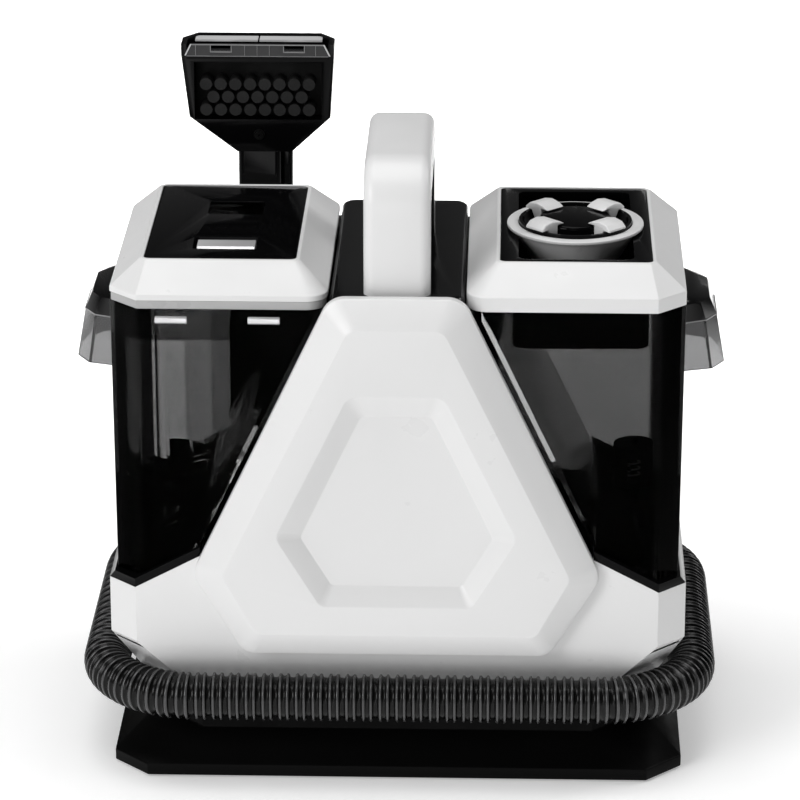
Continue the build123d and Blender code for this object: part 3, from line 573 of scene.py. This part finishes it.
# ---- suction mouth -------------------------------------------------------------------------------
LIP_FRONT = 0.0758
LIP_LOW = 0.4040
LIP_HIGH = 0.4118
SLOT_LOW = 0.4072
SLOT_HIGH = 0.4112
SLOTS = ((-0.1222, -0.1097), (-0.0763, -0.0638))
LIP_REAR = LIP_FRONT + 0.002
LINE_FRONT = LIP_FRONT - 0.0006
LINE_REAR = LIP_FRONT + 0.0002
LINE = 0.0006                # height and width of the drawn edges
# Left and right ends of the clear wall: at its foot, at the foot and head of its slots, and on top.
FOOT_ENDS = (-0.1385, -0.0475)
SLOT_FOOT_ENDS = (-0.1365, -0.0495)
SLOT_HEAD_ENDS = (-0.1350, -0.0510)
TOP_ENDS = (-0.1345, -0.0515)
RIBS_X = (-0.1318, -0.1010, -0.0932, -0.0855, -0.0565)
SILL_FOOT = 0.4019


def wedge(bm, outline, front, rear, inset=0.0):
    """Block with an outline in X and Z; its front face is drawn in by an inset."""
    middle = (sum(x for x, _ in outline) / len(outline), sum(z for _, z in outline) / len(outline))
    back = [bm.verts.new((x, rear, z)) for x, z in outline]
    face = []
    for x, z in outline:
        dx = math.copysign(inset, middle[0] - x)
        dz = math.copysign(inset, middle[1] - z)
        face.append(bm.verts.new((x + dx, front, z + dz)))
    count = len(outline)
    for place in range(count):
        follow = (place + 1) % count
        bm.faces.new((back[place], back[follow], face[follow], face[place]))
    bm.faces.new(back[::-1])
    bm.faces.new(face)


def box_outline(x0, x1, z0, z1):
    return [(x0, z0), (x1, z0), (x1, z1), (x0, z1)]


def finished(bm, name, body, material):
    bmesh.ops.recalc_face_normals(bm, faces=bm.faces)
    mesh = bpy.data.meshes.new(name)
    bm.to_mesh(mesh)
    bm.free()
    return new_piece(name, mesh, body, material)


def slanted(low_ends, low, high_ends, high):
    """Outline of a strip whose two ends lean from one height to the next."""
    return [(low_ends[0], low), (low_ends[1], low), (high_ends[1], high), (high_ends[0], high)]


def make_mouth_wall():
    """Clear front wall of the mouth, left open at two slots, with a floor behind its foot."""
    (a, b), (c, d) = SLOTS
    wall = bmesh.new()
    for outline in (
            slanted(FOOT_ENDS, LIP_LOW, SLOT_FOOT_ENDS, SLOT_LOW),
            slanted((SLOT_FOOT_ENDS[0], a), SLOT_LOW, (SLOT_HEAD_ENDS[0], a), SLOT_HIGH),
            box_outline(b, c, SLOT_LOW, SLOT_HIGH),
            slanted((d, SLOT_FOOT_ENDS[1]), SLOT_LOW, (d, SLOT_HEAD_ENDS[1]), SLOT_HIGH),
            slanted(SLOT_HEAD_ENDS, SLOT_HIGH, TOP_ENDS, LIP_HIGH)):
        wedge(wall, outline, LIP_FRONT, LIP_REAR)
    wedge(wall, box_outline(-0.1368, -0.0492, LIP_LOW, LIP_LOW + 0.0008), LIP_REAR, 0.0925)
    lip = finished(wall, "mouth_wall", BODY_OF["mouth_window"], LOOK["window"])
    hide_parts("mouth_window")


def make_mouth_lines():
    """Painted highlights: light bars on the edges of the clear wall, its slots and its ribs."""
    bars = [(*TOP_ENDS, LIP_HIGH - LINE, LIP_HIGH), (-0.1375, -0.0485, LIP_LOW, LIP_LOW + 0.0004)]
    for left, right in SLOTS:
        bars += [(left - LINE, left, SLOT_LOW - LINE, SLOT_HIGH),
                 (right, right + LINE, SLOT_LOW - LINE, SLOT_HIGH),
                 (left, right, SLOT_LOW - LINE, SLOT_LOW)]
    for x in RIBS_X:
        bars.append((x - 0.0002, x + 0.0002, LIP_LOW + LINE, SLOT_HIGH))
    lines = bmesh.new()
    for x0, x1, z0, z1 in bars:
        wedge(lines, box_outline(x0, x1, z0, z1), LINE_FRONT, LINE_REAR, 0.0001)
    finished(lines, "mouth_lines", BODY_OF["mouth_window"], LOOK["light"])


def make_mouth_inside():
    """Pale bars seen over the wall's top, and painted highlights along its two leaning ends."""
    inside = bmesh.new()
    for x0, x1 in ((-0.1330, -0.0935), (-0.0925, -0.0530)):
        wedge(inside, box_outline(x0, x1, LIP_HIGH - 0.0018, LIP_HIGH - 0.0006), 0.0895, 0.0990)
    for foot, head in ((-0.1388, -0.1352), (-0.0472, -0.0508)):
        across = math.copysign(0.0009, head - foot)
        wedge(inside, [(foot, LIP_LOW + 0.0006), (foot + across, LIP_LOW + 0.0006),
                       (head + across, LIP_HIGH), (head, LIP_HIGH)], LINE_FRONT, LINE_REAR)
    finished(inside, "mouth_inside", BODY_OF["mouth_window"], LOOK["pale"])


def make_mouth_sill():
    bar = bmesh.new()
    wedge(bar, box_outline(-0.1374, -0.0486, SILL_FOOT, LIP_LOW), LIP_FRONT, 0.0900)
    finished(bar, "mouth_sill", BODY_OF["mouth_window"], LOOK["black"])


# ---- grips ---------------------------------------------------------------------------------------
GRIP_REACH = 0.1925          # plan of the right-hand grip
GRIP_WALL = 0.1713
GRIP_MIDDLE = -0.024
GRIP_HALF = 0.0355
GRIP_CUT = 0.007
GRIP_LEAN = 0.006
SEAM_FOOT = 0.2764
SEAM_HEAD = 0.2771
SEAM_PROUD = 0.0004


def make_grip_seam(name, side):
    """Painted highlight: a light line round a side grip where its clear skirt meets the hood."""
    near, far = GRIP_HALF - GRIP_LEAN, GRIP_HALF - GRIP_LEAN - GRIP_CUT * 1.75
    plan = [(GRIP_WALL, GRIP_MIDDLE - GRIP_HALF), (GRIP_REACH - GRIP_CUT, GRIP_MIDDLE - near),
            (GRIP_REACH, GRIP_MIDDLE - far), (GRIP_REACH, GRIP_MIDDLE + far),
            (GRIP_REACH - GRIP_CUT, GRIP_MIDDLE + near), (GRIP_WALL, GRIP_MIDDLE + GRIP_HALF)]
    bm = bmesh.new()
    sections = []
    for x, y in plan:
        out = Vector((x - 0.165, (y - GRIP_MIDDLE) * 0.6)).normalized() * SEAM_PROUD
        corners = [(x - out.x * 2, y - out.y * 2, SEAM_FOOT), (x + out.x, y + out.y, SEAM_FOOT),
                   (x + out.x, y + out.y, SEAM_HEAD), (x - out.x * 2, y - out.y * 2, SEAM_HEAD)]
        sections.append([bm.verts.new((side * cx, cy, cz)) for cx, cy, cz in corners])
    for low, high in zip(sections, sections[1:]):
        for place in range(4):
            follow = (place + 1) % 4
            bm.faces.new((low[place], low[follow], high[follow], high[place]))
    bm.faces.new(sections[0][::-1])
    bm.faces.new(sections[-1])
    finished(bm, name, BODY_OF["clean_grip_skirt" if side > 0 else "waste_grip_skirt"], LOOK["light"])


# Width of the rounding on the edges of each moulded piece, in millimetres.
EDGE_WIDTHS = {
    "front_cover": 1.0, "lower_housing": 1.0, "base_plate": 0.8,
    "deck_cover": 0.6, "core_housing": 0.6, "rear_cover": 0.6, "handle_grip": 2.0,
    "waste_lid_panel": 0.5, "clean_lid_panel": 0.7, "lid_window": 0.4, "latch_bar": 0.5,
    "rim_catches": 0.4, "waste_lid_skirt": 0.5, "clean_tank_shell": 0.8, "waste_tank_shell": 0.8,
    "clean_grip_hood": 0.8, "waste_grip_hood": 0.8, "clean_grip_skirt": 0.8, "waste_grip_skirt": 0.8,
    "tank_tray_left": 0.6, "tank_tray_right": 0.6, "cap_claws": 1.5, "head_shell": 1.0,
    "brush_plate": 0.4, "wand_body": 1.0, "tool_dock": 0.8, "trigger": 0.8,
    "hose_cuff": 0.8, "cord_inlet": 0.6, "fill_funnel": 0.5, "cap_hub": 0.5,
}


def main():
    make_hose()
    make_spring()
    finish_cad()
    make_cover("clean_lid", 1, RIM)
    make_cover("waste_lid", -1, RIM + WASTE_LID_RAISE)
    make_handle()
    make_mouth_wall()
    make_mouth_lines()
    make_mouth_inside()
    make_mouth_sill()
    make_grip_seam("clean_grip_seam", 1)
    make_grip_seam("waste_grip_seam", -1)
    for name, width in EDGE_WIDTHS.items():
        moulded(name, width)


# ---- studio --------------------------------------------------------------------------------------
FLOOR_SIZE = 40
WORLD_STRENGTH = 0.08
# Name, place, aim, size in metres and power in watts. The last one lights only the ground behind.
LIGHTS = [
    ("key", (-2.0, -2.2, 1.6), (0, 0, 0.2), 1.4, 43),
    ("top", (-0.2, -0.2, 2.6), (0, 0, 0.2), 2.0, 40),
    ("fill", (-0.3, -2.6, 0.2), (0, 0, 0.03), 1.0, 9),
    ("rim", (2.0, 0.6, 1.6), (0, 0, 0.2), 0.8, 12),
    ("back", (0.0, 1.0, 1.6), (0, 3.0, 0.4), 1.6, 60),
]


def make_floor():
    bpy.ops.mesh.primitive_plane_add(size=FLOOR_SIZE, location=(0, 1.5, 0))
    floor = bpy.context.object
    floor.name = "floor"
    material = plastic("floor", (0.93, 0.93, 0.93), 0.9, vary=0.003, grain=0.0,
                       Emission_Color=(1, 1, 1, 1), Emission_Strength=0.31)
    floor.data.materials.append(material)


def make_world():
    scene = bpy.context.scene
    scene.view_settings.view_transform = "Standard"
    world = bpy.data.worlds.new("world")
    scene.world = world
    world.use_nodes = True
    background = world.node_tree.nodes["Background"]
    background.inputs["Color"].default_value = (1, 1, 1, 1)
    background.inputs["Strength"].default_value = WORLD_STRENGTH


def make_lights():
    for name, place, aim, size, power in LIGHTS:
        data = bpy.data.lights.new(name, "AREA")
        data.energy = power
        data.size = size
        light = bpy.data.objects.new(name, data)
        bpy.context.scene.collection.objects.link(light)
        light.location = place
        light.rotation_euler = (Vector(aim) - Vector(place)).to_track_quat("-Z", "Y").to_euler()


main()
make_floor()
make_world()
make_lights()
